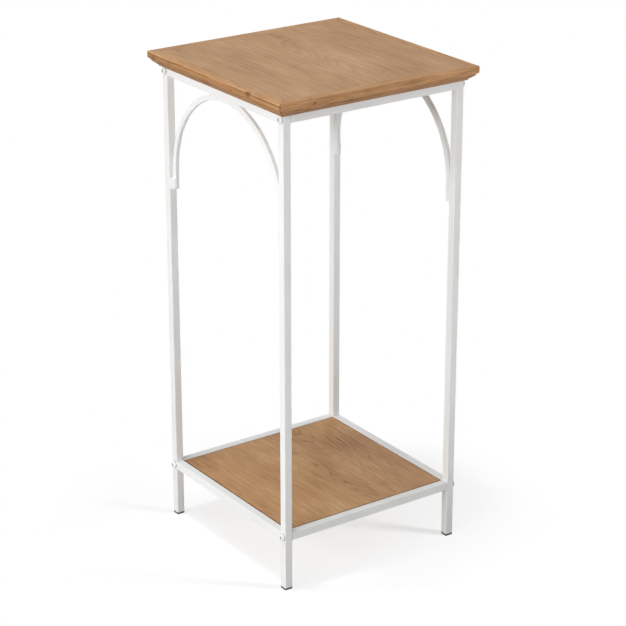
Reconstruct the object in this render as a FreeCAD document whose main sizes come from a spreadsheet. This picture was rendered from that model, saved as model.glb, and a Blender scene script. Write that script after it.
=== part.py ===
import FreeCAD, Part
import Sketcher
import math
import os

# Two-tier square tea table, in millimetres.
# The origin is on the floor at the middle of the table, +Z is up and -Y is the front.
# Two welded side frames, left and right, each hold two legs, two rails and an arch.
# Cross rails are bolted between them, and a wooden top and shelf are screwed on.

doc = FreeCAD.newDocument("TeaTable")

# Driving dimensions
SIZES = [
    ("top_width", 304.8, "top, side to side and front to back"),
    ("top_overhang", 14.4, "edge of the top to the outer face of the legs"),
    ("top_thickness", 19.0, "top board and its edge moulding"),
    ("overall_height", 660.4, "floor to the upper face of the top"),
    ("shelf_height", 80.74, "floor to the top of the shelf rails"),
    ("tube_width", 11.0, "square tube, outside"),
    ("tube_wall", 1.2, "square tube, wall"),
    ("tube_round", 1.0, "square tube, outer corner radius"),
    ("rail_end_gap", 0.5, "end of a bolted rail to the leg"),
    ("moulding_width", 14.0, "edge moulding, across the top"),
    ("nose_height", 7.8, "edge moulding, upright face"),
    ("bevel_drop", 3.7, "edge moulding, height of the bevel"),
    ("bevel_inset", 4.2, "edge moulding, run of the bevel inwards"),
    ("quirk_height", 1.0, "edge moulding, small upright step under the bevel"),
    ("splay_inset", 7.0, "edge moulding, run inwards from the step to the lip"),
    ("lip_height", 0.8, "edge moulding, upright lip along its lower edge"),
    ("top_round", 2.2, "edge moulding, round-over of the upper edge"),
    ("nose_round", 1.6, "edge moulding, softened lower edge of the upright face"),
    ("corner_flat", 2.0, "edge moulding, how far the sharp corner of a mitre is cut back"),
    ("shelf_recess", 0.5, "upper face of the shelf below the top of its rails"),
    ("shelf_gap", 0.9, "edge of the shelf to the rails"),
    ("shelf_round", 0.6, "shelf board, softened upper edge"),
    ("arch_depth", 5.5, "arch bar, thickness across the table"),
    ("arch_bar", 7.2, "arch bar, width seen from the side"),
    ("arch_tail", 25.8, "arch bar, straight end"),
    ("arch_seat", 0.4, "arch crown, dressed flat against the rail"),
    ("arch_round", 0.8, "arch bar, softened edges"),
    ("clip_height", 14.0, "arch clip"),
    ("clip_setback", 0.3, "arch clip, behind the outer face of the leg"),
    ("clip_margin", 0.6, "arch clip, bar left bare beside it"),
    ("clip_toe", 1.0, "arch clip, thickness where it thins out"),
    ("foot_height", 2.5, "foot cap, part under the tube"),
    ("foot_round", 0.8, "foot cap, softened corners"),
    ("foot_plug", 12.0, "foot cap, plug inside the tube"),
    ("foot_plug_clearance", 0.1, "foot plug to the wall of the tube"),
    ("bolt_length", 25.0, "frame bolt, under its head"),
    ("bolt_head_margin", 0.25, "rim of the button head to the edge of the leg"),
    ("bolt_head_height", 3.3, "frame bolt, button head"),
    ("bolt_crown", 5.2, "frame bolt, flat middle of the head"),
    ("bolt_socket", 4.0, "frame bolt, hexagon across its flats"),
    ("bolt_socket_depth", 2.0, "frame bolt, depth of the hexagon"),
    ("bolt_hole_clearance", 0.25, "hole in the leg, around the shank"),
    ("thread_clearance", 0.1, "around the thread of a bolt or screw"),
    ("insert_wall", 1.1, "threaded insert, thinnest wall around its bore"),
    ("insert_length", 12.0, "threaded insert in the end of a rail"),
    ("insert_clearance", 0.1, "threaded insert to the wall of the tube"),
    ("tab_length", 16.0, "shelf tab, inwards from the rail"),
    ("tab_width", 20.0, "shelf tab, along the rail"),
    ("tab_thickness", 1.5, "shelf tab"),
    ("tab_round", 3.0, "shelf tab, inner corners"),
    ("tab_inset", 52.0, "middle of a shelf tab to the leg beside it"),
    ("screw_diameter", 3.5, "wood screw, shank"),
    ("screw_head_diameter", 7.0, "wood screw, pan head"),
    ("screw_head_height", 2.2, "wood screw, pan head"),
    ("screw_head_bevel", 1.0, "wood screw, bevel around the head"),
    ("screw_hole_clearance", 0.3, "hole in a tab or rail, around the shank"),
    ("screw_access_clearance", 0.5, "hole under a rail that lets a screw head in"),
    ("shelf_screw_bite", 6.0, "wood screw, depth in the shelf"),
    ("top_screw_bite", 12.0, "wood screw, depth in the top"),
    ("top_screw_inset", 42.0, "top screw to the leg beside it"),
    ("dome_out_share", 0.5, "button head, shoulder's place between crown and rim"),
    ("dome_up_share", 0.8, "button head, shoulder's height"),
    ("rim_up_share", 0.3, "button head, height of the rim"),
    ("overrun", 5.0, "how far a cut runs past the solid"),
]

sheet = doc.addObject("Spreadsheet::Sheet", "Sizes")
for row, (alias, value, meaning) in enumerate(SIZES, 1):
    sheet.set("A%d" % row, alias)
    sheet.set("B%d" % row, str(value))
    sheet.set("C%d" % row, meaning)
    sheet.setAlias("B%d" % row, alias)
doc.recompute()

# Places worked out from the driving dimensions
TOP_EDGE = "(Sizes.top_width / 2)"
PANEL_EDGE = "(%s - Sizes.moulding_width)" % TOP_EDGE
TUBE_HALF = "(Sizes.tube_width / 2)"
LEG_OUTER = "(%s - Sizes.top_overhang)" % TOP_EDGE
LEG_CENTRE = "(%s - %s)" % (LEG_OUTER, TUBE_HALF)
LEG_INNER = "(%s - Sizes.tube_width)" % LEG_OUTER
BORE_HALF = "(%s - Sizes.tube_wall)" % TUBE_HALF

TOP_UNDERSIDE = "(Sizes.overall_height - Sizes.top_thickness)"
TOP_RAIL_CENTRE = "(%s - %s)" % (TOP_UNDERSIDE, TUBE_HALF)
TOP_RAIL_UNDERSIDE = "(%s - Sizes.tube_width)" % TOP_UNDERSIDE
SHELF_RAIL_CENTRE = "(Sizes.shelf_height - %s)" % TUBE_HALF
SHELF_RAIL_UNDERSIDE = "(Sizes.shelf_height - Sizes.tube_width)"
SHELF_FACE = "(Sizes.shelf_height - Sizes.shelf_recess)"
SHELF_UNDERSIDE = "(%s + Sizes.tab_thickness)" % SHELF_RAIL_UNDERSIDE

# The arch lies against the legs and is level with their faces inside the frame
ARCH_OUTER = LEG_INNER
ARCH_INNER = "(%s - Sizes.arch_bar)" % ARCH_OUTER
ARCH_HALF_DEPTH = "(Sizes.arch_depth / 2)"
ARCH_PLANE = "(%s + %s)" % (LEG_INNER, ARCH_HALF_DEPTH)
ARCH_CENTRE = "(%s - %s + Sizes.arch_seat)" % (TOP_RAIL_UNDERSIDE, ARCH_OUTER)
ARCH_FOOT = "(%s - Sizes.arch_tail)" % ARCH_CENTRE

TAB_CENTRE = "(%s - Sizes.tab_inset)" % LEG_INNER
TAB_SCREW = "(%s - Sizes.tab_length / 2)" % LEG_INNER
TOP_SCREW = "(%s - Sizes.top_screw_inset)" % LEG_INNER
TOP_SCREW_SEAT = "(%s - Sizes.tube_wall)" % TOP_UNDERSIDE

# The bolts are as thick as their inserts allow, and the inserts fill the tube
INSERT_HALF = "(%s - Sizes.insert_clearance)" % BORE_HALF
BOLT_BORE_RADIUS = "(%s - Sizes.insert_wall)" % INSERT_HALF
BOLT_RADIUS = "(%s - Sizes.thread_clearance)" % BOLT_BORE_RADIUS
BOLT_HOLE_RADIUS = "(%s + Sizes.bolt_hole_clearance)" % BOLT_RADIUS
BOLT_RIM = "(%s - Sizes.bolt_head_margin)" % TUBE_HALF
SCREW_RADIUS = "(Sizes.screw_diameter / 2)"
SCREW_BORE_RADIUS = "(%s + Sizes.thread_clearance)" % SCREW_RADIUS
SCREW_HOLE_RADIUS = "(%s + Sizes.screw_hole_clearance)" % SCREW_RADIUS
SCREW_ACCESS_RADIUS = "(Sizes.screw_head_diameter / 2 + Sizes.screw_access_clearance)"

SIDES = [("left", -1), ("right", 1)]
ENDS = [("front", -1), ("back", 1)]
EDGE_TURNS = [("front", 0), ("right", 90), ("back", 180), ("left", 270)]

X_AXIS = FreeCAD.Vector(1, 0, 0)
Y_AXIS = FreeCAD.Vector(0, 1, 0)
Z_AXIS = FreeCAD.Vector(0, 0, 1)
UPRIGHT = FreeCAD.Rotation()

# How close two places are to count as the same when edges are told apart
HAIR = 0.001

nodes = []


def minus(expression):
    return "-" + expression


def signed(sign, expression):
    return "%d * %s" % (sign, expression)


# Bodies and sketches
def new_body(name):
    body = doc.addObject("PartDesign::Body", name)
    body.Label = name
    return body


def new_sketch(body, name, role, height="0"):
    """A sketch on one of the body's own origin planes, or at a height above it."""
    planes = [plane for plane in body.Origin.OriginFeatures if plane.Role == role]
    sketch = body.newObject("Sketcher::SketchObject", name)
    sketch.AttachmentSupport = [(planes[0], "")]
    sketch.MapMode = "FlatFace"
    sketch.setExpression("AttachmentOffset.Base.z", height)
    return sketch


def hold(sketch, geometry, point, across, up, start):
    """Bind the place of a point, measured from the sketch's origin."""
    for kind, expression, value in (("DistanceX", across, start.x), ("DistanceY", up, start.y)):
        distance = Sketcher.Constraint(kind, -1, 1, geometry, point, value)
        number = sketch.addConstraint(distance)
        sketch.setExpression("Constraints[%d]" % number, expression)


def polygon(sketch, corners):
    """A closed outline: it starts on a unit circle and its bound corners pull it to size."""
    first = sketch.GeometryCount
    count = len(corners)
    starts = []
    for index in range(count):
        angle = 2 * math.pi * index / count
        starts.append(FreeCAD.Vector(math.cos(angle), math.sin(angle), 0))
    for index in range(count):
        line = Part.LineSegment(starts[index], starts[(index + 1) % count])
        sketch.addGeometry(line, False)
    for index in range(count):
        following = first + (index + 1) % count
        joint = Sketcher.Constraint("Coincident", first + index, 2, following, 1)
        sketch.addConstraint(joint)
    for index, (across, up) in enumerate(corners):
        hold(sketch, first + index, 1, across, up, starts[index])


def rectangle(sketch, left, bottom, right, top):
    polygon(sketch, [(left, bottom), (right, bottom), (right, top), (left, top)])


def square(sketch, half):
    rectangle(sketch, minus(half), minus(half), half, half)


def circle(sketch, across, up, radius):
    """A circle with a bound centre and radius, which starts as a unit circle."""
    centre = FreeCAD.Vector(0, 0, 0)
    geometry = sketch.addGeometry(Part.Circle(centre, Z_AXIS, 1), False)
    hold(sketch, geometry, 3, across, up, centre)
    number = sketch.addConstraint(Sketcher.Constraint("Radius", geometry, 1))
    sketch.setExpression("Constraints[%d]" % number, radius)


# Features
def extrusion(kind, body, name, sketch, length, reverse, both_ways):
    feature = body.newObject(kind, name)
    feature.Profile = sketch
    feature.Reversed = reverse
    if both_ways:
        feature.SideType = "Symmetric"
    feature.setExpression("Length", length)
    return feature


def pad(body, name, sketch, length, reverse=False, both_ways=False):
    return extrusion("PartDesign::Pad", body, name, sketch, length, reverse, both_ways)


def pocket(body, name, sketch, depth, reverse=False, both_ways=False):
    return extrusion("PartDesign::Pocket", body, name, sketch, depth, reverse, both_ways)


def revolution(body, name, sketch, axis, angle):
    feature = body.newObject("PartDesign::Revolution", name)
    feature.Profile = sketch
    feature.ReferenceAxis = (sketch, [axis])
    feature.Angle = angle
    return feature


def fillet(body, name, base, radius, wanted):
    """Round the edges of a feature that a test picks by shape and by the feature's limits."""
    doc.recompute()
    limits = base.Shape.BoundBox
    picked = []
    for number, edge in enumerate(base.Shape.Edges, 1):
        if wanted(edge, limits):
            picked.append("Edge%d" % number)
    feature = body.newObject("PartDesign::Fillet", name)
    feature.Base = (base, picked)
    feature.setExpression("Radius", radius)
    return feature


def runs_along(edge, axis):
    """Whether an edge is straight and parallel to an axis."""
    if edge.Curve.TypeId != "Part::GeomLine":
        return False
    return edge.Curve.Direction.cross(axis).Length < HAIR


def upright_edge(edge, limits):
    return runs_along(edge, Z_AXIS)


def lengthwise_edge(edge, limits):
    return runs_along(edge, X_AXIS)


def upper_edge(edge, limits):
    return edge.BoundBox.ZMin > limits.ZMax - HAIR


def front_edge(edge, limits):
    return lengthwise_edge(edge, limits) and edge.BoundBox.YMax < limits.YMin + HAIR


def upper_front_edge(edge, limits):
    return front_edge(edge, limits) and upper_edge(edge, limits)


def lower_front_edge(edge, limits):
    return front_edge(edge, limits) and not upper_edge(edge, limits)


def inner_corner_edge(edge, limits):
    return upright_edge(edge, limits) and edge.BoundBox.XMin > limits.XMax - HAIR


def bar_edge(edge, limits):
    """The bent edges of the arch bar and the upright edges of its straight ends."""
    return edge.Curve.TypeId == "Part::GeomCircle" or upright_edge(edge, limits)


def place(body, across, along, up, turn=0, tilt=UPRIGHT):
    """Put a body at a bound place, tilted and then turned about the vertical."""
    rotation = FreeCAD.Rotation(Z_AXIS, turn).multiply(tilt)
    body.Placement = FreeCAD.Placement(FreeCAD.Vector(0, 0, 0), rotation)
    body.setExpression("Placement.Base.x", across)
    body.setExpression("Placement.Base.y", along)
    body.setExpression("Placement.Base.z", up)


def four_places(across, along):
    """The same place on both sides and at both ends of the table."""
    places = []
    for side_name, side in SIDES:
        for end_name, end in ENDS:
            corner = "%s_%s" % (end_name, side_name)
            places.append((corner, signed(side, across), signed(end, along)))
    return places


# Square tube
def upright_tube(body, foot, length):
    outline = new_sketch(body, "TubeOutline", "XY_Plane", foot)
    square(outline, TUBE_HALF)
    solid = pad(body, "TubeSolid", outline, length)
    fillet(body, "TubeCorners", solid, "Sizes.tube_round", upright_edge)
    bore = new_sketch(body, "BoreOutline", "XY_Plane", foot)
    square(bore, BORE_HALF)
    pocket(body, "Bore", bore, length, reverse=True)


def level_tube(body, length):
    outline = new_sketch(body, "TubeOutline", "YZ_Plane")
    square(outline, TUBE_HALF)
    solid = pad(body, "TubeSolid", outline, length, both_ways=True)
    fillet(body, "TubeCorners", solid, "Sizes.tube_round", lengthwise_edge)
    bore = new_sketch(body, "BoreOutline", "YZ_Plane")
    square(bore, BORE_HALF)
    pocket(body, "Bore", bore, length, both_ways=True)


# Legs, with holes for the frame bolts through both walls
def leg(name, side, end):
    body = new_body(name)
    upright_tube(body, "Sizes.foot_height", "%s - Sizes.foot_height" % TOP_UNDERSIDE)
    holes = new_sketch(body, "BoltHoles", "YZ_Plane")
    circle(holes, "0", TOP_RAIL_CENTRE, BOLT_HOLE_RADIUS)
    circle(holes, "0", SHELF_RAIL_CENTRE, BOLT_HOLE_RADIUS)
    pocket(body, "BoltHoleCut", holes, "Sizes.tube_width + Sizes.overrun", both_ways=True)
    place(body, signed(side, LEG_CENTRE), signed(end, LEG_CENTRE), "0")
    nodes.append(body)


# Side rails, welded between the front and back legs; the upper ones are drilled for screws
# whose heads go in through the lower wall and sit on the upper one
def side_rail(name, side, height, drilled):
    body = new_body(name)
    level_tube(body, "2 * %s" % LEG_INNER)
    if drilled:
        holes = new_sketch(body, "ScrewHoles", "XY_Plane")
        circle(holes, minus(TOP_SCREW), "0", SCREW_HOLE_RADIUS)
        circle(holes, TOP_SCREW, "0", SCREW_HOLE_RADIUS)
        pocket(body, "ScrewHoleCut", holes, "Sizes.tube_width + Sizes.overrun", both_ways=True)
        access = new_sketch(body, "AccessHoles", "XY_Plane")
        circle(access, minus(TOP_SCREW), "0", SCREW_ACCESS_RADIUS)
        circle(access, TOP_SCREW, "0", SCREW_ACCESS_RADIUS)
        pocket(body, "AccessHoleCut", access, "Sizes.tube_width")
    place(body, signed(side, LEG_CENTRE), "0", height, turn=90)
    nodes.append(body)


# Cross rails, bolted between the side frames
def cross_rail(name, end, height):
    body = new_body(name)
    level_tube(body, "2 * (%s - Sizes.rail_end_gap)" % LEG_INNER)
    place(body, "0", signed(end, LEG_CENTRE), height)
    nodes.append(body)


# Arches: a bar bent to a half circle with straight ends
def arch(name, side):
    body = new_body(name)
    section = new_sketch(body, "BendSection", "XY_Plane")
    rectangle(section, minus(ARCH_HALF_DEPTH), ARCH_INNER, ARCH_HALF_DEPTH, ARCH_OUTER)
    revolution(body, "Bend", section, "H_Axis", 180)
    ends = new_sketch(body, "EndSections", "XY_Plane")
    rectangle(ends, minus(ARCH_HALF_DEPTH), ARCH_INNER, ARCH_HALF_DEPTH, ARCH_OUTER)
    rectangle(ends, minus(ARCH_HALF_DEPTH), minus(ARCH_OUTER), ARCH_HALF_DEPTH, minus(ARCH_INNER))
    straight = pad(body, "StraightEnds", ends, "Sizes.arch_tail", reverse=True)
    fillet(body, "BarEdges", straight, "Sizes.arch_round", bar_edge)
    seat = new_sketch(body, "CrownSeat", "YZ_Plane")
    crown = "(%s - Sizes.arch_seat)" % ARCH_OUTER
    past = "(%s + Sizes.overrun)" % ARCH_OUTER
    rectangle(seat, minus(ARCH_INNER), crown, ARCH_INNER, past)
    pocket(body, "CrownCut", seat, "Sizes.arch_depth + Sizes.overrun", both_ways=True)
    place(body, signed(side, ARCH_PLANE), "0", ARCH_CENTRE)
    nodes.append(body)


# Arch clips: a wedge in the corner between the side of the leg and the outer face of the bar
def arch_clip(name, side, end):
    body = new_body(name)
    outline = new_sketch(body, "ClipOutline", "XY_Plane")
    clip_face = signed(side, "(%s - Sizes.clip_setback)" % LEG_OUTER)
    bar_face = signed(side, "(%s + Sizes.arch_depth)" % LEG_INNER)
    toe_face = signed(side, "(%s + Sizes.arch_depth + Sizes.clip_toe)" % LEG_INNER)
    leg_face = signed(end, LEG_INNER)
    toe_side = signed(end, "(%s - Sizes.clip_toe)" % LEG_INNER)
    lap_end = signed(end, "(%s + Sizes.clip_margin)" % ARCH_INNER)
    polygon(outline, [
        (bar_face, leg_face),
        (clip_face, leg_face),
        (clip_face, toe_side),
        (toe_face, lap_end),
        (bar_face, lap_end),
    ])
    pad(body, "ClipSolid", outline, "Sizes.clip_height")
    place(body, "0", "0", ARCH_FOOT)
    nodes.append(body)


# Foot caps: a sole under the leg and a plug inside it
def foot(name, side, end):
    body = new_body(name)
    sole = new_sketch(body, "SoleOutline", "XY_Plane")
    square(sole, TUBE_HALF)
    solid = pad(body, "Sole", sole, "Sizes.foot_height")
    fillet(body, "SoleCorners", solid, "Sizes.foot_round", upright_edge)
    plug = new_sketch(body, "PlugOutline", "XY_Plane", "Sizes.foot_height")
    square(plug, "(%s - Sizes.foot_plug_clearance)" % BORE_HALF)
    pad(body, "Plug", plug, "Sizes.foot_plug")
    place(body, signed(side, LEG_CENTRE), signed(end, LEG_CENTRE), "0")
    nodes.append(body)


# Edge moulding of the top: one profile along each side, mitred at both ends
def top_edge(name, turn):
    body = new_body(name)
    nose_foot = "(Sizes.overall_height - Sizes.nose_height)"
    bevel_foot = "(%s - Sizes.bevel_drop)" % nose_foot
    quirk_foot = "(%s - Sizes.quirk_height)" % bevel_foot
    lip_head = "(%s + Sizes.lip_height)" % TOP_UNDERSIDE
    bevel_end = "(%s - Sizes.bevel_inset)" % TOP_EDGE
    splay_end = "(%s - Sizes.splay_inset)" % bevel_end
    profile = new_sketch(body, "MouldingProfile", "YZ_Plane")
    polygon(profile, [
        (minus(TOP_EDGE), "Sizes.overall_height"),
        (minus(TOP_EDGE), nose_foot),
        (minus(bevel_end), bevel_foot),
        (minus(bevel_end), quirk_foot),
        (minus(splay_end), lip_head),
        (minus(splay_end), TOP_UNDERSIDE),
        (minus(PANEL_EDGE), TOP_UNDERSIDE),
        (minus(PANEL_EDGE), "Sizes.overall_height"),
    ])
    strip = pad(body, "MouldingStrip", profile, "Sizes.top_width", both_ways=True)
    nose = fillet(body, "NoseRound", strip, "Sizes.nose_round", lower_front_edge)
    fillet(body, "UpperRound", nose, "Sizes.top_round", upper_front_edge)
    mitres = new_sketch(body, "Mitres", "XY_Plane", TOP_UNDERSIDE)
    past = "(%s + Sizes.overrun)" % TOP_EDGE
    flat = "(%s - Sizes.corner_flat / 2)" % TOP_EDGE
    flat_past = "(%s - Sizes.corner_flat - Sizes.overrun)" % TOP_EDGE
    for mirror in (-1, 1):
        polygon(mitres, [
            (signed(mirror, past), minus(past)),
            (signed(mirror, flat_past), minus(past)),
            (signed(mirror, flat), minus(flat)),
            (signed(mirror, PANEL_EDGE), minus(PANEL_EDGE)),
            (signed(mirror, past), minus(PANEL_EDGE)),
        ])
    pocket(body, "MitreCut", mitres, "2 * Sizes.top_thickness + Sizes.overrun", both_ways=True)
    place(body, "0", "0", "0", turn=turn)
    nodes.append(body)


# Boards, with blind bores for the wood screws
def blind_bores(body, foot, depth, across, along):
    bores = new_sketch(body, "ScrewBores", "XY_Plane", foot)
    for corner, x_place, y_place in four_places(across, along):
        circle(bores, x_place, y_place, SCREW_BORE_RADIUS)
    pocket(body, "ScrewBoreCut", bores, "%s + Sizes.thread_clearance" % depth, reverse=True)


def top_panel():
    body = new_body("top_panel")
    outline = new_sketch(body, "BoardOutline", "XY_Plane", TOP_UNDERSIDE)
    square(outline, PANEL_EDGE)
    pad(body, "Board", outline, "Sizes.top_thickness")
    blind_bores(body, TOP_UNDERSIDE, "Sizes.top_screw_bite", LEG_CENTRE, TOP_SCREW)
    nodes.append(body)


def shelf_panel():
    body = new_body("shelf_panel")
    outline = new_sketch(body, "BoardOutline", "XY_Plane", SHELF_UNDERSIDE)
    square(outline, "(%s - Sizes.shelf_gap)" % LEG_INNER)
    board = pad(body, "Board", outline, "%s - %s" % (SHELF_FACE, SHELF_UNDERSIDE))
    fillet(body, "UpperRound", board, "Sizes.shelf_round", upper_edge)
    blind_bores(body, SHELF_UNDERSIDE, "Sizes.shelf_screw_bite", TAB_SCREW, TAB_CENTRE)
    nodes.append(body)


# Shelf tabs, welded inside the shelf side rails and level with their undersides
def shelf_tab(name, side, end):
    body = new_body(name)
    outline = new_sketch(body, "TabOutline", "XY_Plane")
    half = "(Sizes.tab_width / 2)"
    rectangle(outline, "0", minus(half), "Sizes.tab_length", half)
    plate = pad(body, "TabPlate", outline, "Sizes.tab_thickness")
    fillet(body, "TabCorners", plate, "Sizes.tab_round", inner_corner_edge)
    hole = new_sketch(body, "TabHole", "XY_Plane")
    circle(hole, "Sizes.tab_length / 2", "0", SCREW_HOLE_RADIUS)
    pocket(body, "TabHoleCut", hole, "2 * Sizes.tab_thickness + Sizes.overrun", both_ways=True)
    turn = 180 if side > 0 else 0
    along = signed(end, TAB_CENTRE)
    place(body, signed(side, LEG_INNER), along, SHELF_RAIL_UNDERSIDE, turn=turn)
    nodes.append(body)


# Fasteners stand on their seat at the origin, head down and shank up
def bolt(name):
    """A button-head bolt with a hexagon socket."""
    body = new_body(name)
    crown = "(Sizes.bolt_crown / 2)"
    shoulder = "(%s + Sizes.dome_out_share * (%s - %s))" % (crown, BOLT_RIM, crown)
    profile = new_sketch(body, "BoltProfile", "XZ_Plane")
    polygon(profile, [
        ("0", "-Sizes.bolt_head_height"),
        (crown, "-Sizes.bolt_head_height"),
        (shoulder, "-Sizes.dome_up_share * Sizes.bolt_head_height"),
        (BOLT_RIM, "-Sizes.rim_up_share * Sizes.bolt_head_height"),
        (BOLT_RIM, "0"),
        (BOLT_RADIUS, "0"),
        (BOLT_RADIUS, "Sizes.bolt_length"),
        ("0", "Sizes.bolt_length"),
    ])
    revolution(body, "BoltTurned", profile, "V_Axis", 360)
    socket = new_sketch(body, "Socket", "XY_Plane", "-Sizes.bolt_head_height")
    flat = "(Sizes.bolt_socket / 2)"
    point = "(Sizes.bolt_socket / sqrt(3))"
    polygon(socket, [
        (point, "0"),
        ("%s / 2" % point, flat),
        ("-%s / 2" % point, flat),
        (minus(point), "0"),
        ("-%s / 2" % point, minus(flat)),
        ("%s / 2" % point, minus(flat)),
    ])
    pocket(body, "SocketCut", socket, "Sizes.bolt_socket_depth", reverse=True)
    return body


def wood_screw(name, length):
    """A pan-head wood screw with a pointed end."""
    body = new_body(name)
    rim = "(Sizes.screw_head_diameter / 2)"
    profile = new_sketch(body, "ScrewProfile", "XZ_Plane")
    polygon(profile, [
        ("0", "-Sizes.screw_head_height"),
        ("%s - Sizes.screw_head_bevel" % rim, "-Sizes.screw_head_height"),
        (rim, "Sizes.screw_head_bevel - Sizes.screw_head_height"),
        (rim, "0"),
        (SCREW_RADIUS, "0"),
        (SCREW_RADIUS, "%s - %s" % (length, SCREW_RADIUS)),
        ("0", length),
    ])
    revolution(body, "ScrewTurned", profile, "V_Axis", 360)
    return body


def threaded_insert(name):
    """A square block with a bore for the bolt, pressed into the end of a rail."""
    body = new_body(name)
    outline = new_sketch(body, "InsertOutline", "YZ_Plane")
    square(outline, INSERT_HALF)
    circle(outline, "0", "0", BOLT_BORE_RADIUS)
    pad(body, "InsertBlock", outline, "Sizes.insert_length")
    return body


# Identical fasteners share one node, and each is still a solid of its own
def group(name, bodies):
    bundle = doc.addObject("Part::Compound", name)
    bundle.Label = name
    bundle.Links = bodies
    nodes.append(bundle)


def frame_bolts(name, side):
    inwards = FreeCAD.Rotation(Y_AXIS, -90 * side)
    bodies = []
    for level, height in (("top", TOP_RAIL_CENTRE), ("shelf", SHELF_RAIL_CENTRE)):
        for end_name, end in ENDS:
            body = bolt("%s_%s_%s" % (name, level, end_name))
            place(body, signed(side, LEG_OUTER), signed(end, LEG_CENTRE), height, tilt=inwards)
            bodies.append(body)
    group(name, bodies)


def rail_inserts(name, height):
    bodies = []
    rail_end = "(%s - Sizes.rail_end_gap)" % LEG_INNER
    for side_name, side in SIDES:
        for end_name, end in ENDS:
            body = threaded_insert("%s_%s_%s" % (name, end_name, side_name))
            turn = 180 if side > 0 else 0
            place(body, signed(side, rail_end), signed(end, LEG_CENTRE), height, turn=turn)
            bodies.append(body)
    group(name, bodies)


def wood_screws(name, across, along, seat, length):
    bodies = []
    for corner, x_place, y_place in four_places(across, along):
        body = wood_screw("%s_%s" % (name, corner), length)
        place(body, x_place, y_place, seat)
        bodies.append(body)
    group(name, bodies)


# The whole table
top_panel()
for edge_name, edge_turn in EDGE_TURNS:
    top_edge("top_edge_" + edge_name, edge_turn)

for side_name, side in SIDES:
    for end_name, end in ENDS:
        corner = "%s_%s" % (end_name, side_name)
        leg("leg_" + corner, side, end)
        foot("foot_" + corner, side, end)
        arch_clip("arch_clip_" + corner, side, end)
        shelf_tab("shelf_tab_" + corner, side, end)
    side_rail("side_rail_top_" + side_name, side, TOP_RAIL_CENTRE, True)
    side_rail("side_rail_shelf_" + side_name, side, SHELF_RAIL_CENTRE, False)
    arch("arch_" + side_name, side)
    frame_bolts("frame_bolts_" + side_name, side)

for end_name, end in ENDS:
    cross_rail("cross_rail_top_" + end_name, end, TOP_RAIL_CENTRE)
    cross_rail("cross_rail_shelf_" + end_name, end, SHELF_RAIL_CENTRE)

rail_inserts("rail_inserts_top", TOP_RAIL_CENTRE)
rail_inserts("rail_inserts_shelf", SHELF_RAIL_CENTRE)

shelf_panel()
wood_screws(
    "shelf_screws",
    TAB_SCREW,
    TAB_CENTRE,
    SHELF_RAIL_UNDERSIDE,
    "(Sizes.tab_thickness + Sizes.shelf_screw_bite)",
)
wood_screws(
    "top_screws",
    LEG_CENTRE,
    TOP_SCREW,
    TOP_SCREW_SEAT,
    "(Sizes.tube_wall + Sizes.top_screw_bite)",
)

doc.recompute()

# Every object must have worked before anything is written
for item in doc.Objects:
    for state in ("Invalid", "Error"):
        if state in item.State:
            raise RuntimeError("%s is %s" % (item.Label, state))
for node in nodes:
    if node.Shape.isNull() or not node.Shape.isValid():
        raise RuntimeError("%s has no valid shape" % node.Label)

os.makedirs("parts", exist_ok=True)
for node in nodes:
    node.Shape.exportStep("parts/%s.step" % node.Label)
    print(node.Label, len(node.Shape.Solids), round(node.Shape.Volume, 1))
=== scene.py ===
import math

import bpy
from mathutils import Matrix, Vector


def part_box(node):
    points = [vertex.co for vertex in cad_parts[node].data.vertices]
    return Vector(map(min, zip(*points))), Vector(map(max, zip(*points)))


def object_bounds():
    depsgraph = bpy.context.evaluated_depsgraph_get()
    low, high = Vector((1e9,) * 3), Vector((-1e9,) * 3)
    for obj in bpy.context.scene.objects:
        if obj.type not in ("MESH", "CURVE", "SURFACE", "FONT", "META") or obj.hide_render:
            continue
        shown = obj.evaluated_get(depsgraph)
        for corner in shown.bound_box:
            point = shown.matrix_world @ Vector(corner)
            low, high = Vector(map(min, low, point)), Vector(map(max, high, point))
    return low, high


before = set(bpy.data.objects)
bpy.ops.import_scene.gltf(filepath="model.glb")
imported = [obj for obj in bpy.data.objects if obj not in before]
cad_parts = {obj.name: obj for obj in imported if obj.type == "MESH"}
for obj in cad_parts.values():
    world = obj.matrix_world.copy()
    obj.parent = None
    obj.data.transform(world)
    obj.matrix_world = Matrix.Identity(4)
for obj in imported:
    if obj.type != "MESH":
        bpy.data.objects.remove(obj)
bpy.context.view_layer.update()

# Two-tier square tea table: materials, camera and studio, in metres.
# The solids already have their shapes and places; this file gives them their surfaces.

IMAGE_SIDE = 626

# Camera, fitted to the corners of the top, the shelf and the feet in the photograph
CAMERA_PLACE = Vector((-1.5579, -2.2229, 1.3966))
CAMERA_YAW = math.radians(35.066)
CAMERA_PITCH = math.radians(-21.785)
FOCAL_PIXELS = 2200
SENSOR_MM = 36
CLIP_END = 100.0

# Places on the table, read from the solids
TOP_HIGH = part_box("top_panel")[1]
EDGE_LOW, EDGE_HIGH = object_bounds()
SHELF_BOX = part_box("shelf_panel")
SHELF_HIGH = SHELF_BOX[1]
BOLT_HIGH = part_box("frame_bolts_right")[1]
TOP_RAIL_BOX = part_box("side_rail_top_right")
SHELF_RAIL_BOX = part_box("side_rail_shelf_right")
LEG_LOW, LEG_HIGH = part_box("leg_back_right")


# Colours
def colour(red, green, blue):
    """A linear colour from the 0 to 255 values that a screen shows."""
    levels = []
    for value in (red, green, blue):
        share = value / 255
        levels.append(share / 12.92 if share <= 0.04045 else ((share + 0.055) / 1.055) ** 2.4)
    return (*levels, 1.0)


def palette(*tones):
    """Several linear colours at once."""
    return tuple(colour(*tone) for tone in tones)


def grey(level):
    """A linear grey."""
    return (level, level, level, 1.0)


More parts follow.
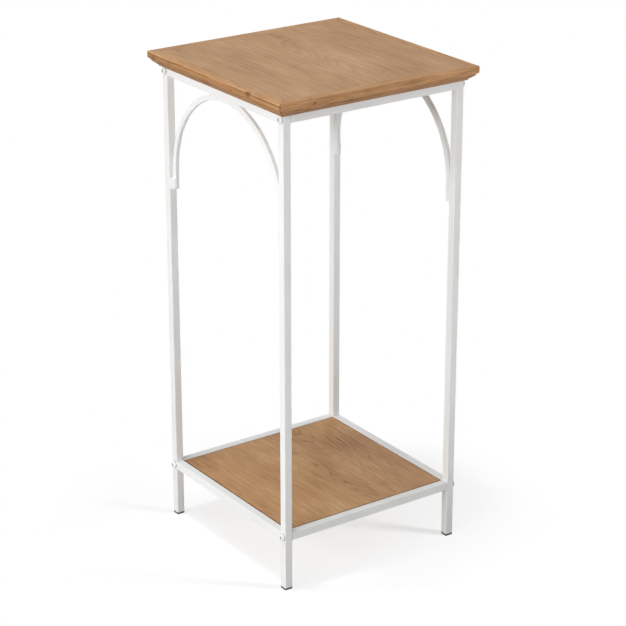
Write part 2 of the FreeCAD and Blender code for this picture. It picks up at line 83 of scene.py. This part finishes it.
# Stains: light, middle and dark, and then the colour of knots and seams. STRIP_TONES is
# the upper face of the mouldings, whose knots have the colour of those on their sides.
TOP_TONES = palette((203, 166, 129), (185, 145, 106), (152, 110, 74), (96, 60, 36))
STRIP_TONES = palette((210, 166, 123), (189, 144, 101), (150, 104, 68))
SIDE_TONES = palette((192, 147, 101), (170, 123, 79), (120, 77, 45), (84, 46, 24))
FRONT_TONES = palette((210, 162, 112), (187, 138, 92), (128, 82, 48), (84, 48, 28))
SHELF_TONES = palette((209, 166, 120), (188, 143, 97), (149, 103, 64), (92, 58, 36))
LIGHT_TO_MIDDLE = (0.0, 0.5)
MIDDLE_TO_DARK = (0.45, 1.0)

# Noise fields of the wood: the last two numbers of the seed, the detail, the roughness
WOOD_NOISES = {
    "drift": ((3.1, 7.7), 2.0, 0.55),
    "streak": ((11.0, 2.0), 5.0, 0.62),
    "fibre": ((5.0, 9.0), 4.0, 0.6),
    "mottle": ((4.0, 12.0), 4.0, 0.7),
    "blotch": ((1.0, 4.0), 3.0, 0.55),
    "warmth": ((8.0, 6.0), 2.0, 0.5),
    "pore": ((2.0, 1.0), 2.0, 0.5),
    "glue": ((6.0, 3.0), 2.0, 0.6),
}
NOISE_MEAN = 0.5

# Cells per metre, along and across the grain, of the fields that no figure sets
DRIFT_CELLS = (4.0, 16.0)
BLOTCH_CELLS = (7.0, 13.0)
WARMTH_CELLS = (3.0, 22.0)
PORE_CELLS = (60.0, 1500.0)
GLUE_CELLS = (9.0, 90.0)

# Figure of the wood: cells are those of its own fields, and weights say how much each
# field darkens the stain. ring is the weight of the growth rings and ring_range the noise
# range that fades them in. heart is the log's heart: its place across the board, its depth
# below the board and its tilt along it.
TOP_FIGURE = {
    "cells": {"streak": (7.0, 250.0), "fibre": (28.0, 640.0), "mottle": (16.0, 170.0)},
    "weights": {"streak": 0.75, "fibre": 0.9, "mottle": 0.6, "blotch": 1.25},
    "ring": 0.4,
    "ring_range": (0.34, 0.64),
    "heart": (0.03, 0.045, 0.2),
}
SHELF_FIGURE = {
    "cells": {"streak": (9.0, 300.0), "fibre": (30.0, 640.0), "mottle": (18.0, 150.0)},
    "weights": {"streak": 0.8, "fibre": 1.0, "mottle": 0.7, "blotch": 1.25},
    "ring": 0.42,
    "ring_range": (0.34, 0.64),
    "heart": (0.05, 0.04, -0.18),
}
EDGE_FIGURE = {
    "cells": {"streak": (14.0, 380.0), "fibre": (38.0, 640.0), "mottle": (40.0, 160.0)},
    "weights": {"streak": 1.6, "fibre": 1.3, "mottle": 0.3, "blotch": 0.95},
    "ring": 0.28,
    "ring_range": (0.42, 0.66),
}

# How far the grain drifts sideways, the stain's mean depth, its pores and its growth rings
DRIFT_REACH = 0.012
MEAN_DEPTH = 0.42
PORE_RANGE = (0.62, 0.74)
PORE_WEIGHT = 0.22
RINGS_PER_METRE = 260.0
RING_WANDER = 9.0
RING_SHARPNESS = 5.0

# Surface of the wood: what each field adds to the roughness and to the relief, and the
# strength and depth of the bump
WOOD_LEAST_ROUGHNESS = 0.54
WOOD_ROUGHNESS = {"fibre": 0.16, "pore": 0.12}
WOOD_RELIEF = {"streak": 0.6, "fibre": 0.5, "pore": -0.6}
WOOD_BUMP = (0.22, 0.0004)
WOOD_SPECULAR = 0.26

# Knots: place along the grain, across it, height, radius, darkness
TOP_KNOTS = (
    (-0.105, 0.037, TOP_HIGH.z, 0.0024, 0.4),
    (0.128, -0.118, TOP_HIGH.z, 0.004, 0.35),
    (0.02, 0.09, TOP_HIGH.z, 0.002, 0.25),
)
LEFT_KNOTS = (
    (-0.0836, EDGE_LOW.x, EDGE_HIGH.z - 0.0024, 0.0048, 0.9),
    (-0.045, EDGE_LOW.x, EDGE_HIGH.z - 0.0065, 0.002, 0.4),
    (0.0975, EDGE_LOW.x, EDGE_HIGH.z - 0.005, 0.003, 0.45),
    (0.135, EDGE_LOW.x, EDGE_HIGH.z - 0.006, 0.0036, 0.6),
)
FRONT_KNOTS = (
    (-0.102, EDGE_LOW.y, EDGE_HIGH.z - 0.006, 0.0026, 0.7),
    (-0.107, EDGE_LOW.y + 0.004, EDGE_HIGH.z - 0.013, 0.0018, 0.9),
    (-0.086, EDGE_LOW.y, EDGE_HIGH.z - 0.008, 0.0018, 0.5),
    (-0.046, EDGE_LOW.y + 0.003, EDGE_HIGH.z - 0.01, 0.0036, 0.35),
)
BACK_KNOTS = (
    (0.05, EDGE_HIGH.y, EDGE_HIGH.z - 0.005, 0.0036, 0.6),
    (-0.09, EDGE_HIGH.y, EDGE_HIGH.z - 0.007, 0.0022, 0.8),
)
RIGHT_KNOTS = (
    (0.02, EDGE_HIGH.x, EDGE_HIGH.z - 0.001, 0.0036, 0.8),
    (-0.1, EDGE_HIGH.x, EDGE_HIGH.z - 0.006, 0.002, 0.6),
)
SHELF_KNOTS = (
    (0.03, 0.055, SHELF_HIGH.z, 0.002, 0.35),
    (-0.02, -0.07, SHELF_HIGH.z, 0.0018, 0.3),
)

# Core of a knot, in its own radii: its length and the distances between which it fades
KNOT_LENGTH = 1.5
CORE_FADE = (0.1, 1.3)
KNOT_RINGS = 13.0
KNOT_RING_SHADE = 0.16
KNOT_MEAN_SHADE = 0.84

# Grain round a knot: the length over which it bends, in radii, how fast that fades to the
# sides, and the bend's share of the distance from the knot's middle line
BEND_LENGTH = 4.5
BEND_SIDE_FADE = 0.12
BEND_STRENGTH = -0.75

# Dark lines on the wood: each keeps its darkness within LINE_CORE of its reach to either
# side, and ends at its reach
LINE_CORE = 0.4
MITRE_REACH = 0.0011
MITRE_ON_FACES = 0.85
MITRE_ON_TOP = 0.2
# Painted shadow line in the gap round the shelf, darker at its front and left
GAP_SHADOW_REACH = 0.0017
GAP_SHADOW_NEAR = 0.75
GAP_SHADOW_FAR = 0.45
GLUE_LINE = (EDGE_LOW.x, EDGE_HIGH.z - 0.0026)
GLUE_REACH = 0.0009
GLUE_BREAKS = (0.42, 0.58)
GLUE_FAINT = 0.05
GLUE_STRONG = 0.75

# Heights on the edge mouldings: the rounded upper edge and the painted shade under the nose
ROUND_OVER = (EDGE_HIGH.z - 0.0012, EDGE_HIGH.z - 0.0003)
UNDER_NOSE = (EDGE_HIGH.z - 0.0135, EDGE_HIGH.z - 0.0085)
NOSE_SHADE = 0.3

# The boards and mouldings. under_nose is the darkness of the painted shade under a
# moulding's nose, border is the box of a board with a painted shadow line round it, and
# glued marks the moulding with a glue line.
BOARDS = {
    "top_panel": {
        "material": "top_wood",
        "grain": "Y",
        "seed": 4.0,
        "tones": TOP_TONES,
        "figure": TOP_FIGURE,
        "knots": TOP_KNOTS,
    },
    "top_edge_left": {
        "material": "left_edge_wood",
        "grain": "Y",
        "seed": 17.0,
        "tones": SIDE_TONES,
        "figure": EDGE_FIGURE,
        "knots": LEFT_KNOTS,
        "under_nose": 0.0,
        "glued": True,
    },
    "top_edge_right": {
        "material": "right_edge_wood",
        "grain": "Y",
        "seed": 23.0,
        "tones": SIDE_TONES,
        "figure": EDGE_FIGURE,
        "knots": RIGHT_KNOTS,
        "under_nose": 0.0,
    },
    "top_edge_front": {
        "material": "front_edge_wood",
        "grain": "X",
        "seed": 31.0,
        "tones": FRONT_TONES,
        "figure": EDGE_FIGURE,
        "knots": FRONT_KNOTS,
        "under_nose": NOSE_SHADE,
    },
    "top_edge_back": {
        "material": "back_edge_wood",
        "grain": "X",
        "seed": 37.0,
        "tones": FRONT_TONES,
        "figure": EDGE_FIGURE,
        "knots": BACK_KNOTS,
        "under_nose": NOSE_SHADE,
    },
    "shelf_panel": {
        "material": "shelf_wood",
        "grain": "Y",
        "seed": 43.0,
        "tones": SHELF_TONES,
        "figure": SHELF_FIGURE,
        "knots": SHELF_KNOTS,
        "border": SHELF_BOX,
    },
}

# Noise fields of the other surfaces: cells per metre along X, Y and Z, the seed, the
# detail, the roughness
COAT_NOISES = {
    "cloud": ((9.0, 9.0, 5.0), (3.0, 1.0, 2.0), 3.0, 0.55),
    "speck": ((700.0, 700.0, 700.0), (5.0, 5.0, 5.0), 2.0, 0.55),
    "peel": ((520.0, 520.0, 520.0), (1.0, 2.0, 3.0), 2.0, 0.5),
    "scuff": ((120.0, 120.0, 18.0), (7.0, 4.0, 2.0), 4.0, 0.65),
}
PLASTIC_NOISES = {
    "grit": ((900.0, 900.0, 900.0), (2.0, 2.0, 2.0), 3.0, 0.55),
    "smear": ((160.0, 160.0, 60.0), (4.0, 1.0, 0.0), 3.0, 0.55),
}
ZINC_NOISES = {
    "spangle": ((260.0, 260.0, 260.0), (1.0, 6.0, 2.0), 4.0, 0.55),
    "scratch": ((1500.0, 1500.0, 120.0), (3.0, 3.0, 1.0), 3.0, 0.55),
}

# Powder coat: clean and dirty tones, and the range and weight of each kind of wear
COAT_TONE, COAT_DIRT = palette((243, 243, 242), (226, 226, 223))
BOLT_TONE, BOLT_DIRT = palette((241, 241, 240), (216, 216, 214))
COAT_WEAR = {
    "cloud": ((0.35, 0.75), 0.45),
    "speck": ((0.72, 0.8), 0.35),
    "scuff": ((0.7, 0.82), 0.5),
}
COAT_LEAST_ROUGHNESS = 0.34
COAT_ROUGHNESS = {"peel": 0.14, "scuff": 0.1}
COAT_BUMP = (0.18, 0.00025)
COAT_SPECULAR = 0.4

# Bolt heads: painted shade under the rim, at these heights above the leg, and in the socket
RIM_SHADE_TONE, SOCKET_SHADE_TONE = palette((132, 132, 130), (204, 205, 207))
RIM_SHADE_HEIGHTS = (0.0004, 0.0017)
RIM_SHADE_SHARE = 0.8
SOCKET_RADIUS = 0.0024
SOCKET_SINK = 0.0001

# Foot plastic, with dust near the floor, and zinc
PLASTIC_TONE, PLASTIC_DUST = palette((22, 22, 23), (96, 93, 88))
DUST_HEIGHT = 0.002
DUST_AT_FLOOR = 0.4
DUST_ABOVE = 0.05
PLASTIC_LEAST_ROUGHNESS = 0.4
PLASTIC_ROUGHNESS = {"grit": 0.25}
PLASTIC_BUMP = (0.3, 0.0002)
ZINC_DARK, ZINC_LIGHT = palette((168, 170, 174), (205, 206, 203))
ZINC_LEAST_ROUGHNESS = 0.24
ZINC_ROUGHNESS = {"scratch": 0.25}
ZINC_BUMP = (0.2, 0.0002)

# Studio: the floor keeps the shadow near the table and is seen white away from it
WHITE = grey(1.0)
SKY_LIGHT = 0.27
FLOOR_HALF = 30.0
FLOOR_TONE = 0.65
FLOOR_BOUNCE = 0.33
FLOOR_GLOW_SHARE = 0.66
SHADOW_REACH = (0.21, 0.38)

# Lamps: name, place, target, width, height, power
LAMPS = (
    ("left_softbox", (-3.2, -0.6, 1.95), (0.0, 0.0, 0.45), 2.4, 0.7, 74.0),
    ("front_fill", (-1.7, -1.6, 0.9), (0.0, 0.0, 0.4), 0.8, 0.6, 8.4),
    ("back_fill", (2.3, 2.5, 0.35), (0.0, 0.0, 0.3), 0.6, 0.6, 18.0),
    ("top_strip", (-0.8, 0.4, 3.0), (0.0, 0.0, 0.3), 0.4, 1.6, 22.0),
)
# Lamps that light only the floor: a low one draws the long soft shadows of the feet, and
# one above the table the outline of the shelf
FLOOR_LAMPS = (
    ("floor_rake", (1.3, -1.5, 0.32), (0.0, 0.0, 0.0), 0.42, 0.2, 140.0),
    ("floor_overhead", (-0.6, 0.3, 3.1), (0.0, 0.0, 0.0), 0.4, 0.4, 36.0),
)


# Shader nodes
class Shader:
    """Adds nodes to one material or world and links them."""

    # Sockets of the Mix node that carry colours
    MIX_FIRST = 6
    MIX_SECOND = 7
    MIX_RESULT = 2

    def __init__(self, owner):
        owner.use_nodes = True
        self.tree = owner.node_tree
        self.tree.nodes.clear()

    def add(self, kind, inputs=None, **settings):
        made = self.tree.nodes.new(kind)
        for name, value in settings.items():
            setattr(made, name, value)
        for key, value in (inputs or {}).items():
            self.feed(made.inputs[key], value)
        return made

    def feed(self, socket, value):
        if isinstance(value, bpy.types.NodeSocket):
            self.tree.links.new(value, socket)
        else:
            socket.default_value = value

    def place(self):
        """The point on the surface, in metres."""
        return self.add("ShaderNodeTexCoord").outputs["Object"]

    def split(self, vector):
        return self.add("ShaderNodeSeparateXYZ", {0: vector}).outputs

    def combine(self, x, y, z):
        return self.add("ShaderNodeCombineXYZ", {"X": x, "Y": y, "Z": z}).outputs[0]

    def math(self, operation, first, second=0.0, third=0.0, clamp=False):
        made = self.add("ShaderNodeMath", operation=operation, use_clamp=clamp)
        self.feed(made.inputs[0], first)
        self.feed(made.inputs[1], second)
        self.feed(made.inputs[2], third)
        return made.outputs[0]

    def weighted(self, fields, weights, base=0.0):
        """The base plus each named field times its weight."""
        total = base
        for name, weight in weights.items():
            total = self.math("MULTIPLY_ADD", fields[name], weight, total)
        return total

    def step(self, value, low, high, start=0.0, end=1.0):
        """A smooth ramp from start to end as value goes from low to high."""
        made = self.add("ShaderNodeMapRange", interpolation_type="SMOOTHSTEP")
        for key, number in (
            ("Value", value),
            ("From Min", low),
            ("From Max", high),
            ("To Min", start),
            ("To Max", end),
        ):
            self.feed(made.inputs[key], number)
        return made.outputs["Result"]

    def noise(self, vector, cells, seed, detail, roughness):
        """Noise between 0 and 1 with its own number of cells per metre along each axis."""
        stretched = self.add(
            "ShaderNodeVectorMath", {0: vector, 1: cells, 2: seed}, operation="MULTIPLY_ADD"
        )
        inputs = {
            "Vector": stretched.outputs[0],
            "Scale": 1.0,
            "Detail": detail,
            "Roughness": roughness,
        }
        return self.add("ShaderNodeTexNoise", inputs).outputs["Fac"]

    def noises(self, vector, table):
        """One noise field for each row of a table."""
        return {name: self.noise(vector, *row) for name, row in table.items()}

    def mix(self, share, first, second):
        """A blend of two colours."""
        made = self.add("ShaderNodeMix", data_type="RGBA")
        self.feed(made.inputs["Factor"], share)
        self.feed(made.inputs[self.MIX_FIRST], first)
        self.feed(made.inputs[self.MIX_SECOND], second)
        return made.outputs[self.MIX_RESULT]

    def output(self, surface, kind="ShaderNodeOutputMaterial"):
        self.add(kind, {"Surface": surface})

    def principled(self, tint, rough, relief, bump, more=None):
        """The finished surface; bump is the strength and the depth of its relief."""
        strength, depth = bump
        bumped = self.add(
            "ShaderNodeBump", {"Height": relief, "Strength": strength, "Distance": depth}
        )
        inputs = {"Base Color": tint, "Roughness": rough, "Normal": bumped.outputs[0]}
        inputs.update(more or {})
        self.output(self.add("ShaderNodeBsdfPrincipled", inputs).outputs[0])


def new_shader(name):
    material = bpy.data.materials.new(name)
    return material, Shader(material)


# Wood
def squared_ratio(shader, length, unit):
    return shader.math("POWER", shader.math("DIVIDE", length, unit), 2.0)


def knot_bend(shader, off_along, off_across, radius):
    """The shift that makes the lines of the grain flow round a knot."""
    sides = squared_ratio(shader, off_across, radius)
    ends = squared_ratio(shader, off_along, BEND_LENGTH * radius)
    reach = shader.math("ADD", shader.math("MULTIPLY", sides, BEND_SIDE_FADE), ends)
    fade = shader.math("EXPONENT", shader.math("MULTIPLY", reach, -1.0))
    moved = shader.math("MULTIPLY", off_across, fade)
    return shader.math("MULTIPLY", moved, BEND_STRENGTH)


def knot_core(shader, off_along, off_across, off_up, radius, darkness):
    """The knot's own shade, dark at its middle and ringed."""
    sides = squared_ratio(shader, off_across, radius)
    height = squared_ratio(shader, off_up, radius)
    ends = squared_ratio(shader, off_along, KNOT_LENGTH * radius)
    squares = shader.math("ADD", shader.math("ADD", sides, height), ends)
    distance = shader.math("SQRT", squares)
    core = shader.step(distance, *CORE_FADE, darkness, 0.0)
    rings = shader.math("SINE", shader.math("MULTIPLY", distance, KNOT_RINGS))
    ringed = shader.math("MULTIPLY_ADD", rings, KNOT_RING_SHADE, KNOT_MEAN_SHADE)
    return shader.math("MULTIPLY", core, ringed)


def knot_fields(shader, axes, knots):
    """The bend of the grain round all the knots of a board, and the knots' shade."""
    bend = 0.0
    shade = 0.0
    for along, across, up, radius, darkness in knots:
        off_along = shader.math("SUBTRACT", axes[0], along)
        off_across = shader.math("SUBTRACT", axes[1], across)
        off_up = shader.math("SUBTRACT", axes[2], up)
        one_bend = knot_bend(shader, off_along, off_across, radius)
        one_shade = knot_core(shader, off_along, off_across, off_up, radius, darkness)
        bend = shader.math("ADD", one_bend, bend)
        shade = shader.math("MAXIMUM", one_shade, shade)
    return bend, shade


def grain_noise(shader, vector, name, cells, seed):
    """A noise field of the wood, stretched along the grain."""
    along_cells, across_cells = cells
    seed_end, detail, roughness = WOOD_NOISES[name]
    all_cells = (along_cells, across_cells, across_cells)
    return shader.noise(vector, all_cells, (seed, *seed_end), detail, roughness)


def ring_radius(shader, along, across, heart):
    """Distance from the heart of the log, which lies below the board and tilts along it."""
    heart_across, depth, tilt = heart
    off_heart = shader.math("SUBTRACT", across, heart_across)
    below = shader.math("MULTIPLY_ADD", along, tilt, depth)
    squares = shader.math("MULTIPLY", off_heart, off_heart)
    squares = shader.math("MULTIPLY_ADD", below, below, squares)
    return shader.math("SQRT", squares)


def growth_rings(shader, radius, warmth, ring_range):
    """The dark late wood at the end of each ring, where the noise field warmth shows it."""
    wander = shader.math("MULTIPLY", warmth, RING_WANDER)
    phase = shader.math("MULTIPLY_ADD", radius, RINGS_PER_METRE, wander)
    ring = shader.math("POWER", shader.math("FRACT", phase), RING_SHARPNESS)
    return shader.math("MULTIPLY", ring, shader.step(warmth, *ring_range))


def wood_fields(shader, axes, bend, seed, figure):
    """The noise fields of a board, its pores and its growth rings, by name."""
    along, across, z = axes
    straight = shader.combine(along, across, z)
    drift = grain_noise(shader, straight, "drift", DRIFT_CELLS, seed)
    drift = shader.math("MULTIPLY", shader.math("SUBTRACT", drift, NOISE_MEAN), DRIFT_REACH)
    bent = shader.math("ADD", shader.math("ADD", across, drift), bend)
    grain = shader.combine(along, bent, z)

    fields = {}
    for name, cells in figure["cells"].items():
        fields[name] = grain_noise(shader, grain, name, cells, seed)
    fields["blotch"] = grain_noise(shader, straight, "blotch", BLOTCH_CELLS, seed)
    warmth = grain_noise(shader, straight, "warmth", WARMTH_CELLS, seed)
    radius = bent
    if "heart" in figure:
        radius = ring_radius(shader, along, bent, figure["heart"])
    fields["ring"] = growth_rings(shader, radius, warmth, figure["ring_range"])
    pore = grain_noise(shader, grain, "pore", PORE_CELLS, seed)
    fields["pore"] = shader.step(pore, *PORE_RANGE)
    return fields


def stain_depth(shader, fields, figure):
    """How dark the stain is, from 0 to 1."""
    depth = MEAN_DEPTH
    for name, weight in figure["weights"].items():
        centred = shader.math("SUBTRACT", fields[name], NOISE_MEAN)
        depth = shader.math("MULTIPLY_ADD", centred, weight, depth)
    depth = shader.math("MULTIPLY_ADD", fields["ring"], figure["ring"], depth)
    return shader.math("MULTIPLY_ADD", fields["pore"], PORE_WEIGHT, depth, clamp=True)


def stain(shader, depth, tones):
    """The stain's colour at its depth."""
    light, middle, dark = tones[:3]
    tint = shader.mix(shader.step(depth, *LIGHT_TO_MIDDLE), light, middle)
    return shader.mix(shader.step(depth, *MIDDLE_TO_DARK), tint, dark)


def dark_line(shader, distance, reach, darkness=1.0):
    """A line that is darkest where the distance is 0 and gone where it is the reach."""
    return shader.step(distance, LINE_CORE * reach, reach, darkness, 0.0)


def mitre_seam(shader, x, y, z):
    """The joints between the edge mouldings, at 45 degrees: dark on the faces, faint on top."""
    off_joint = shader.math(
        "SUBTRACT", shader.math("ABSOLUTE", x), shader.math("ABSOLUTE", y)
    )
    line = dark_line(shader, shader.math("ABSOLUTE", off_joint), MITRE_REACH)
    share = shader.step(z, *ROUND_OVER, MITRE_ON_FACES, MITRE_ON_TOP)
    return shader.math("MULTIPLY", line, share)


def gap_shadow_line(shader, x, y, box):
    """A painted gap shadow round a board, darker at its front and left than at its other sides.
    """
    low, high = box
    from_left = shader.math("SUBTRACT", x, low.x)
    from_front = shader.math("SUBTRACT", y, low.y)
    from_right = shader.math("SUBTRACT", high.x, x)
    from_back = shader.math("SUBTRACT", high.y, y)
    near = shader.math("MINIMUM", from_left, from_front)
    far = shader.math("MINIMUM", from_right, from_back)
    near_line = dark_line(shader, near, GAP_SHADOW_REACH, GAP_SHADOW_NEAR)
    far_line = dark_line(shader, far, GAP_SHADOW_REACH, GAP_SHADOW_FAR)
    return shader.math("MAXIMUM", near_line, far_line)


def glue_seam(shader, axes, seed):
    """A dark, broken line that runs with the grain along the left moulding."""
    along, across, z = axes
    line_across, line_up = GLUE_LINE
    off_across = shader.math("ABSOLUTE", shader.math("SUBTRACT", across, line_across))
    off_up = shader.math("ABSOLUTE", shader.math("SUBTRACT", z, line_up))
    near = shader.math("MAXIMUM", off_across, off_up)
    line = dark_line(shader, near, GLUE_REACH)
    straight = shader.combine(along, across, z)
    broken = grain_noise(shader, straight, "glue", GLUE_CELLS, seed)
    share = shader.step(broken, *GLUE_BREAKS, GLUE_FAINT, GLUE_STRONG)
    return shader.math("MULTIPLY", line, share)


def wood(board):
    """Stained softwood: streaks and growth lines along the grain, pores, blotches and knots."""
    material, shader = new_shader(board["material"])
    x, y, z = shader.split(shader.place())
    axes = (y, x, z) if board["grain"] == "Y" else (x, y, z)
    tones = board["tones"]
    knot_tone = tones[3]

    bend, knot_shade = knot_fields(shader, axes, board["knots"])
    fields = wood_fields(shader, axes, bend, board["seed"], board["figure"])
    depth = stain_depth(shader, fields, board["figure"])
    tint = stain(shader, depth, tones)
    if "under_nose" in board:
        tint = shader.mix(shader.step(z, *ROUND_OVER), tint, stain(shader, depth, STRIP_TONES))
        # Painted shade under the nose, set on the front and back mouldings
        shade = shader.step(z, *UNDER_NOSE, board["under_nose"], 0.0)
        tint = shader.mix(shade, tint, knot_tone)
        tint = shader.mix(mitre_seam(shader, x, y, z), tint, knot_tone)
    # Painted shadow line in the gap between the shelf and its frame
    if "border" in board:
        tint = shader.mix(gap_shadow_line(shader, x, y, board["border"]), tint, knot_tone)
    tint = shader.mix(knot_shade, tint, knot_tone)
    if "glued" in board:
        tint = shader.mix(glue_seam(shader, axes, board["seed"]), tint, knot_tone)

    rough = shader.weighted(fields, WOOD_ROUGHNESS, WOOD_LEAST_ROUGHNESS)
    relief = shader.weighted(fields, WOOD_RELIEF)
    shader.principled(tint, rough, relief, WOOD_BUMP, {"Specular IOR Level": WOOD_SPECULAR})
    return material


# Painted steel
def powder_coat(name, tone, dirt, bolts=False):
    """White powder coat with its fine orange-peel texture.

    The bolts also have painted shade under the rims of their heads and in their sockets.
    """
    material, shader = new_shader(name)
    place = shader.place()
    fields = shader.noises(place, COAT_NOISES)
    worn = 0.0
    for field, (reach, weight) in COAT_WEAR.items():
        shown = shader.step(fields[field], *reach)
        worn = shader.math("MULTIPLY_ADD", shown, weight, worn, clamp=True)
    tint = shader.mix(worn, tone, dirt)
    if bolts:
        x, y, z = shader.split(place)
        above_leg = shader.math("SUBTRACT", shader.math("ABSOLUTE", x), LEG_HIGH.x)
        # Painted shade on each bolt head's rim, next to the leg
        tint = shader.mix(shader.step(above_leg, *RIM_SHADE_HEIGHTS, RIM_SHADE_SHARE, 0.0), tint, RIM_SHADE_TONE)
        # Painted shade in the hexagon sockets
        tint = shader.mix(socket_mask(shader, x, y, z), tint, SOCKET_SHADE_TONE)
    rough = shader.weighted(fields, COAT_ROUGHNESS, COAT_LEAST_ROUGHNESS)
    more = {"Specular IOR Level": COAT_SPECULAR}
    shader.principled(tint, rough, fields["peel"], COAT_BUMP, more)
    return material


def socket_mask(shader, x, y, z):
    """1 inside the bolt heads' hexagon sockets, 0 elsewhere."""
    leg_middle = (LEG_LOW.y + LEG_HIGH.y) / 2
    off_leg = shader.math("SUBTRACT", shader.math("ABSOLUTE", y), leg_middle)
    distances = []
    for low, high in (TOP_RAIL_BOX, SHELF_RAIL_BOX):
        off_rail = shader.math("SUBTRACT", z, (low.z + high.z) / 2)
        squares = shader.math("MULTIPLY", off_leg, off_leg)
        squares = shader.math("MULTIPLY_ADD", off_rail, off_rail, squares)
        distances.append(shader.math("SQRT", squares))
    inside = shader.math("LESS_THAN", shader.math("MINIMUM", *distances), SOCKET_RADIUS)
    sunk = shader.math("LESS_THAN", shader.math("ABSOLUTE", x), BOLT_HIGH.x - SOCKET_SINK)
    return shader.math("MULTIPLY", inside, sunk)


# Feet and hidden fasteners
def foot_plastic(name):
    """Black moulded plastic with a fine texture and a little floor dust low down."""
    material, shader = new_shader(name)
    place = shader.place()
    fields = shader.noises(place, PLASTIC_NOISES)
    height = shader.split(place)["Z"]
    dust = shader.step(height, 0.0, DUST_HEIGHT, DUST_AT_FLOOR, DUST_ABOVE)
    dusty = shader.math("MULTIPLY", dust, fields["smear"])
    tint = shader.mix(dusty, PLASTIC_TONE, PLASTIC_DUST)
    rough = shader.weighted(fields, PLASTIC_ROUGHNESS, PLASTIC_LEAST_ROUGHNESS)
    shader.principled(tint, rough, fields["grit"], PLASTIC_BUMP)
    return material


def zinc_steel(name):
    """Zinc-plated steel of the screws and threaded inserts."""
    material, shader = new_shader(name)
    fields = shader.noises(shader.place(), ZINC_NOISES)
    tint = shader.mix(fields["spangle"], ZINC_DARK, ZINC_LIGHT)
    rough = shader.weighted(fields, ZINC_ROUGHNESS, ZINC_LEAST_ROUGHNESS)
    shader.principled(tint, rough, fields["scratch"], ZINC_BUMP, {"Metallic": 1.0})
    return material


def paint(material, *prefixes):
    """Give a material to every node whose name starts with one of the prefixes."""
    for name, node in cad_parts.items():
        if name.startswith(prefixes):
            node.data.materials.clear()
            node.data.materials.append(material)


# Studio
def seen_directly(shader):
    """1 for rays from the camera, a reflection or a transmission, 0 for the light's own."""
    path = shader.add("ShaderNodeLightPath").outputs
    seen = shader.math("MAXIMUM", path["Is Camera Ray"], path["Is Glossy Ray"])
    return shader.math("MAXIMUM", seen, path["Is Transmission Ray"])


def make_world():
    """A sky that is seen white but lights the table only a little."""
    world = bpy.data.worlds.new("studio")
    bpy.context.scene.world = world
    shader = Shader(world)
    strength = shader.step(seen_directly(shader), 0.0, 1.0, SKY_LIGHT, 1.0)
    sky = shader.add("ShaderNodeBackground", {"Strength": strength, "Color": WHITE})
    shader.output(sky.outputs[0], "ShaderNodeOutputWorld")


def blend_shaders(shader, share, first, second):
    """The first surface where share is 0 and the second where it is 1."""
    inputs = {0: share, 1: first.outputs[0], 2: second.outputs[0]}
    return shader.add("ShaderNodeMixShader", inputs)


def floor_material():
    """Matt near the table and glowing white away from it; dimmer for the light it returns."""
    material, shader = new_shader("studio_floor")
    length = shader.add("ShaderNodeVectorMath", {0: shader.place()}, operation="LENGTH")
    distance = length.outputs["Value"]
    glow_share = shader.step(distance, *SHADOW_REACH, FLOOR_GLOW_SHARE, 1.0)
    glow = shader.add("ShaderNodeEmission", {"Color": WHITE, "Strength": 1.0})
    matt = shader.add("ShaderNodeBsdfDiffuse", {"Color": grey(FLOOR_TONE)})
    dim = shader.add("ShaderNodeBsdfDiffuse", {"Color": grey(FLOOR_BOUNCE)})
    shown = blend_shaders(shader, glow_share, matt, glow)
    both = blend_shaders(shader, seen_directly(shader), dim, shown)
    shader.output(both.outputs[0])
    return material


def make_floor():
    mesh = bpy.data.meshes.new("studio_floor")
    corners = [(-1, -1), (1, -1), (1, 1), (-1, 1)]
    points = [(x * FLOOR_HALF, y * FLOOR_HALF, 0.0) for x, y in corners]
    mesh.from_pydata(points, [], [range(len(points))])
    floor = bpy.data.objects.new("studio_floor", mesh)
    bpy.context.scene.collection.objects.link(floor)
    mesh.materials.append(floor_material())
    return floor


def aim(thing, place, target):
    thing.location = place
    direction = Vector(target) - Vector(place)
    thing.rotation_mode = "QUATERNION"
    thing.rotation_quaternion = direction.to_track_quat("-Z", "Y")


def area_light(name, place, target, width, height, power):
    lamp = bpy.data.lights.new(name, "AREA")
    lamp.shape = "RECTANGLE"
    lamp.size = width
    lamp.size_y = height
    lamp.energy = power
    light = bpy.data.objects.new(name, lamp)
    light.visible_camera = False
    bpy.context.scene.collection.objects.link(light)
    aim(light, place, target)
    return light


def make_lamps(floor):
    for lamp in LAMPS:
        area_light(*lamp)
    floor_only = bpy.data.collections.new("raked_floor")
    floor_only.objects.link(floor)
    for lamp in FLOOR_LAMPS:
        area_light(*lamp).light_linking.receiver_collection = floor_only


def make_camera():
    data = bpy.data.cameras.new("camera")
    data.sensor_width = SENSOR_MM
    data.lens = SENSOR_MM * FOCAL_PIXELS / IMAGE_SIDE
    data.clip_end = CLIP_END
    camera = bpy.data.objects.new("camera", data)
    bpy.context.scene.collection.objects.link(camera)
    forward = Vector((
        math.cos(CAMERA_PITCH) * math.sin(CAMERA_YAW),
        math.cos(CAMERA_PITCH) * math.cos(CAMERA_YAW),
        math.sin(CAMERA_PITCH),
    ))
    aim(camera, CAMERA_PLACE, CAMERA_PLACE + forward)
    bpy.context.scene.camera = camera


# The table's materials
for board_name, board in BOARDS.items():
    paint(wood(board), board_name)
paint(
    powder_coat("white_coat", COAT_TONE, COAT_DIRT),
    "leg_",
    "side_rail_",
    "cross_rail_",
    "arch_",
    "shelf_tab_",
)
paint(powder_coat("white_fastener", BOLT_TONE, BOLT_DIRT, bolts=True), "frame_bolts_")
paint(foot_plastic("foot_plastic"), "foot_")
paint(zinc_steel("zinc_steel"), "rail_inserts_", "shelf_screws", "top_screws")

# The studio around it
make_world()
studio_floor = make_floor()
make_camera()
make_lamps(studio_floor)
bpy.context.scene.view_settings.view_transform = "Standard"
